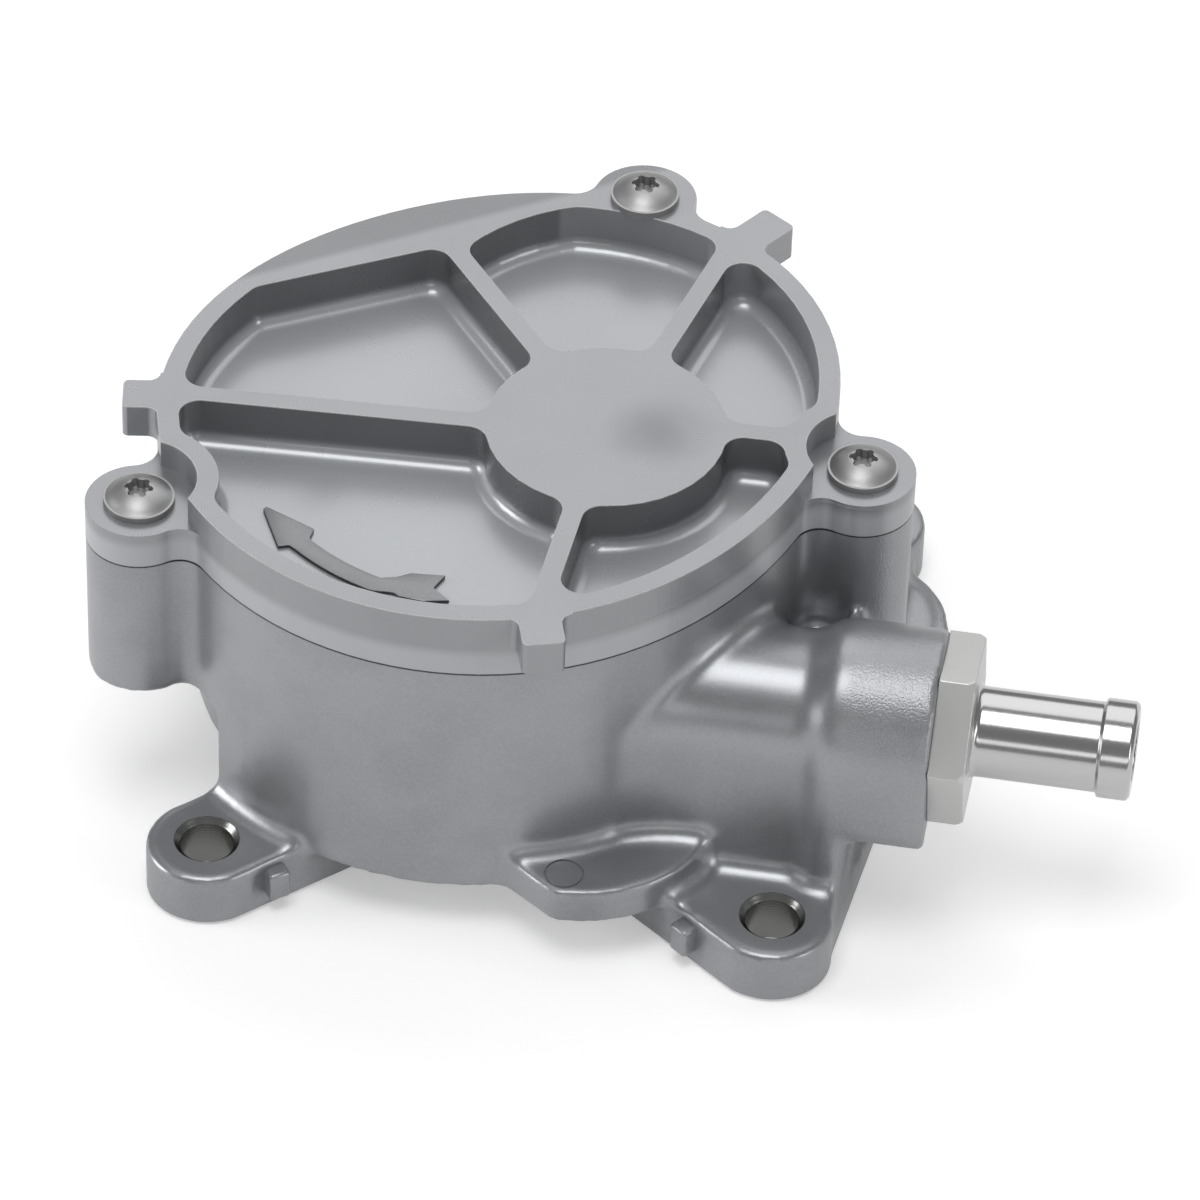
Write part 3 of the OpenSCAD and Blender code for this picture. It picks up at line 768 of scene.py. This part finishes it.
def thinOut(piece, triangles):
    count = sum(len(face.vertices) - 2 for face in piece.data.polygons)
    if count > triangles:
        fewer = piece.modifiers.new("fewer", "DECIMATE")
        fewer.ratio = triangles / count
        applyModifiers(piece)


def swellBlock(settings, hose):
    steps = settings["steps"]
    neck, boss = settings["neck"], settings["boss"]
    outline = []
    for i in range(steps + 1):
        turn = math.radians(settings["flareTurn"]) * (1 - i / steps)
        reach = neck + settings["flareRadius"] * (1 - math.cos(turn))
        outline.append((settings["flareStart"] - settings["flareRadius"] * math.sin(turn), reach))
    for i in range(steps + 1):
        reach = neck + (boss - neck) * (1 - math.cos(math.pi * i / steps)) / 2
        outline.append((settings["start"] + settings["length"] * i / steps, reach))
    end = settings["start"] + settings["length"] + settings["past"]
    outline += [(end, boss), (end, settings["back"]), (outline[0][0], settings["back"])]
    return blockUp([(x, hose["y"] - reach) for x, reach in outline], settings["low"], settings["high"])


def tabBlock(settings, place, turn):
    # Block at a lug's side
    deselectAll()
    long, deep, tall = settings["size"]
    bpy.ops.mesh.primitive_cube_add(
        size=1, location=(0, settings.get("behind", 0) * mm, 0), scale=(long * mm, deep * mm, tall * mm))
    block = newPlaced()
    if "bevel" in settings:
        bevel = block.modifiers.new("bevel", "BEVEL")
        bevel.width = settings["bevel"] * mm
        bevel.segments = 3
        applyModifiers(block)
    shift = Matrix.Translation((place[0] * mm, place[1] * mm, (settings["low"] + tall / 2) * mm))
    block.data.transform(shift @ Matrix.Rotation(math.radians(turn), 4, "Z"))
    return block


def addPlugs(settings):
    draw, chamber, hose = settings["draw"], settings["chamber"], settings["hose"]
    bolts, screws, fill = settings["bolts"], settings["screwHoles"], settings["plugs"]
    high = settings["top"] + draw
    plugs = [
        chamberBlock(chamber, chamber["wall"], fill["chamberLow"], high),
        rodAlong(fill["hoseRadius"], fill["hoseStart"], hose["face"], hose),
    ]
    for radius, x, y in settings["recess"]:
        plugs.append(rodUp(radius + fill["recessWider"], -draw, fill["recessTop"], x, y))
    for x, y in bolts["places"]:
        plugs.append(rodUp(bolts["radius"] + fill["boltWider"], -draw, bolts["top"], x, y))
    radius, low = screws["radius"] + fill["screwWider"], screws["low"] - fill["screwLower"]
    for x, y in screws["places"]:
        plugs.append(rodUp(radius, low, high, x, y))
    plugs.append(swellBlock(settings["swell"], hose))
    return plugs


def castSkin(piece, settings):
    # Cast outer skin, drawn past the machined faces
    draw, tabs = settings["draw"], settings["tabs"]
    drawEnd(piece, lambda z: z > settings["top"] - settings["ledge"], draw)
    drawEnd(piece, lambda z: z < settings["foot"], -draw)
    plugs = addPlugs(settings)
    for place, turn in tabs["places"]:
        combine(piece, tabBlock(settings["tabRoom"], place, turn))
    joinTo(piece, plugs)
    reskin(piece, settings)
    for place, turn in tabs["places"]:
        combine(piece, tabBlock(tabs, place, turn), "UNION")
    thinOut(piece, settings["triangles"] * settings["spare"])
    print("housing skinned,", len(piece.data.polygons), "faces")


def grooveRing(settings):
    inner, outer, depth = settings["groove"]
    (radius, x, y), (sideRadius, sideX, sideY) = settings["recess"]
    groove = rodUp(radius + outer, -1, depth, x, y)
    combine(groove, rodUp(sideRadius + outer, -1, depth, sideX, sideY), "UNION")
    combine(groove, rodUp(radius + inner, -2, depth + 1, x, y))
    combine(groove, rodUp(sideRadius + inner, -2, depth + 1, sideX, sideY))
    return groove


def machine(piece, settings):
    # Machined faces and holes; the cutters run on past the metal
    draw, chamber, hose = settings["draw"], settings["chamber"], settings["hose"]
    bolts, screws, ejector = settings["bolts"], settings["screwHoles"], settings["ejector"]
    high = settings["top"] + draw
    combine(piece, slab(settings["top"], high + 5))
    combine(piece, slab(-draw - 5, 0))
    radius, top, sides = bolts["radius"], bolts["top"], bolts["sides"]
    chamfer, past = bolts["chamfer"], bolts["past"]
    for x, y in bolts["places"]:
        combine(piece, rodUp(radius, -1, top + 2, x, y, sides))
        cone = rodUp(radius - past, top - (chamfer + past), top + past, x, y, sides, radius + chamfer + past)
        combine(piece, cone)
    for x, y in screws["places"]:
        combine(piece, rodUp(screws["radius"], screws["low"], high, x, y, screws["sides"]))
    combine(piece, grooveRing(settings))
    for radius, x, y in settings["recess"]:
        combine(piece, rodUp(radius, -1, settings["recessTop"], x, y))
    combine(piece, chamberBlock(chamber, chamber["out"], chamber["low"], high))
    combine(piece, rodUp(settings["bearing"], 5, chamber["low"] + 1))
    for radius, x, y, top in settings["holes"]:
        combine(piece, rodUp(radius, 5, top, x, y, settings["holeSides"]))
    for radius, start, end in settings["passage"]:
        combine(piece, rodAlong(radius, start, end, hose))
    (x, y), level, sides = ejector["place"], ejector["level"], ejector["sides"]
    ring = rodUp(ejector["outer"], level, level + ejector["height"], x, y, sides)
    combine(ring, rodUp(ejector["inner"], level - 1, level + 2, x, y, sides))
    combine(piece, ring)


def castHousing(settings):
    piece = mergedCopy("housing", "housing_cast")
    castSkin(piece, settings)
    machine(piece, settings)
    thinOut(piece, settings["triangles"])
    smoothShade(piece, settings["smooth"])
    coat(piece, "housing")
    standIn(piece, "housing", "pump")


castHousing(housingSettings)


# Rotation arrow: low relief on the front pocket's floor

arrowSettings = {
    "middle": (-7.3, 0.7),
    "floor": 47.0,
    "height": 0.55,
    "shaft": (31.8, 34.6),  # inner and outer radius
    "span": (231.5, 252.5),
    "steps": 8,
    "bevel": {"width": 0.18, "segments": 2, "angle": 40},
    # Head and tail corners as radius and direction from the middle
    "head": [(34.7, 229.5), (36.0, 228.4), (33.8, 216.2), (33.2, 215.8), (30.1, 228.6), (31.6, 230.5)],
    "tail": [(30.7, 255.6), (29.3, 258.2), (28.3, 267.2), (31.0, 265.4),
             (33.0, 270.0), (33.9, 264.4), (34.1, 258.7), (33.7, 257.3)],
}


def ringPoint(settings, radius, direction):
    turn = math.radians(direction)
    cx, cy = settings["middle"]
    return (cx + radius * math.cos(turn), cy + radius * math.sin(turn))


def arrowRelief(settings):
    inner, outer = settings["shaft"]
    first, last = settings["span"]
    steps = settings["steps"]
    turns = [first + (last - first) * i / steps for i in range(steps + 1)]
    corners = [(inner, turn) for turn in turns] + settings["tail"]
    corners += [(outer, turn) for turn in reversed(turns)] + settings["head"]
    outline = [ringPoint(settings, radius, turn) for radius, turn in corners]
    curve = bpy.data.curves.new("arrow", "CURVE")
    curve.dimensions = "2D"
    curve.fill_mode = "BOTH"
    curve.extrude = settings["height"] * mm / 2
    spline = curve.splines.new("POLY")
    spline.points.add(len(outline) - 1)
    for point, (x, y) in zip(spline.points, outline):
        point.co = (x * mm, y * mm, 0, 1)
    spline.use_cyclic_u = True
    piece = bpy.data.objects.new("rotation_arrow", curve)
    bpy.context.scene.collection.objects.link(piece)
    activate(piece)
    bpy.ops.object.convert(target="MESH")
    piece = bpy.context.object
    piece.data.transform(Matrix.Translation((0, 0, (settings["floor"] + settings["height"] / 2) * mm)))
    editAll()
    bpy.ops.mesh.remove_doubles(threshold=weldGap * mm)
    bpy.ops.mesh.normals_make_consistent(inside=False)
    leaveEdit()
    bevel = piece.modifiers.new("bevel", "BEVEL")
    bevel.width = settings["bevel"]["width"] * mm
    bevel.segments = settings["bevel"]["segments"]
    bevel.angle_limit = math.radians(settings["bevel"]["angle"])
    applyModifiers(piece)
    smoothShade(piece, crispTurn)
    coat(piece, "arrow")
    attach(piece, "pump")


arrowRelief(arrowSettings)
print("arrow made")


# Floor, backdrop and lights

studioSettings = {
    "floorSize": 6.0,
    "floorLevel": -0.0005,
    "floorColour": grey(0.80),
    "floorGlow": 0.2,  # as mirrored in the metal
    "floorSeen": 0.34,  # as seen by the camera
    "world": 0.3,
    # name: place in metres, size in metres, power in watts
    "lamps": {
        "backSoftbox": ((0.15, 1.15, 1.3), (2.0, 1.5), 11.8),
        "topSoftbox": ((-0.1, -0.3, 1.6), (0.85, 0.85), 10.0),
        "leftPanel": ((-1.3, -0.25, 0.4), (0.6, 0.7), 8.0),
        "rightPanel": ((1.3, -0.6, 0.45), (0.5, 0.7), 3.5),
        "frontStrip": ((0.35, -1.5, 0.55), (1.0, 0.3), 1.5),
    },
    "aim": (0.0, 0.0, 0.03),
}


def addFloor(settings):
    deselectAll()
    bpy.ops.mesh.primitive_plane_add(size=settings["floorSize"], location=(0, 0, settings["floorLevel"]))
    floor = bpy.context.object
    floor.name = "floor"
    paint = Paint("floor white")
    paint.set(Base_Color=settings["floorColour"], Roughness=0.9, Specular_IOR_Level=0.1)
    rays = paint.tree.nodes.new("ShaderNodeLightPath")
    seen = Link(paint, rays.outputs["Is Camera Ray"]) + Link(paint, rays.outputs["Is Transmission Ray"])
    mirrored = Link(paint, rays.outputs["Is Glossy Ray"])
    strength = seen * settings["floorSeen"] + mirrored * settings["floorGlow"]
    glow = paint.node("ShaderNodeEmission", {}, {"Color": grey(1.0), "Strength": strength})
    both = paint.node("ShaderNodeAddShader", {}, {0: Link(paint, paint.shader.outputs[0]), 1: glow})
    paint.tree.links.new(both.socket, paint.tree.nodes["Material Output"].inputs[0])
    floor.data.materials.append(paint.material)


def addWorld(settings):
    # White to the camera and through glass, and dimmer as a light
    world = bpy.data.worlds.new("studio")
    bpy.context.scene.world = world
    world.use_nodes = True
    tree = world.node_tree
    tree.nodes.clear()
    kinds = ("LightPath", "Math", "MapRange", "Background", "OutputWorld")
    rays, seen, strength, back, output = (tree.nodes.new("ShaderNode" + kind) for kind in kinds)
    seen.operation = "MAXIMUM"
    strength.inputs["To Min"].default_value = settings["world"]
    strength.inputs["To Max"].default_value = 1.0
    links = [
        (rays.outputs["Is Camera Ray"], seen.inputs[0]),
        (rays.outputs["Is Transmission Ray"], seen.inputs[1]),
        (seen.outputs[0], strength.inputs["Value"]),
        (strength.outputs[0], back.inputs["Strength"]),
        (back.outputs[0], output.inputs[0]),
    ]
    for start, end in links:
        tree.links.new(start, end)


def addLamp(name, place, size, power, aim):
    data = bpy.data.lights.new(name, "AREA")
    data.shape = "RECTANGLE"
    data.size, data.size_y = size
    data.energy = power
    lamp = bpy.data.objects.new(name, data)
    bpy.context.scene.collection.objects.link(lamp)
    away = Vector(place) - Vector(aim)
    lamp.matrix_world = Matrix.Translation(place) @ away.to_track_quat("Z", "Y").to_matrix().to_4x4()


addFloor(studioSettings)
addWorld(studioSettings)
for name, (place, size, power) in studioSettings["lamps"].items():
    addLamp(name, place, size, power, studioSettings["aim"])
print("studio set")
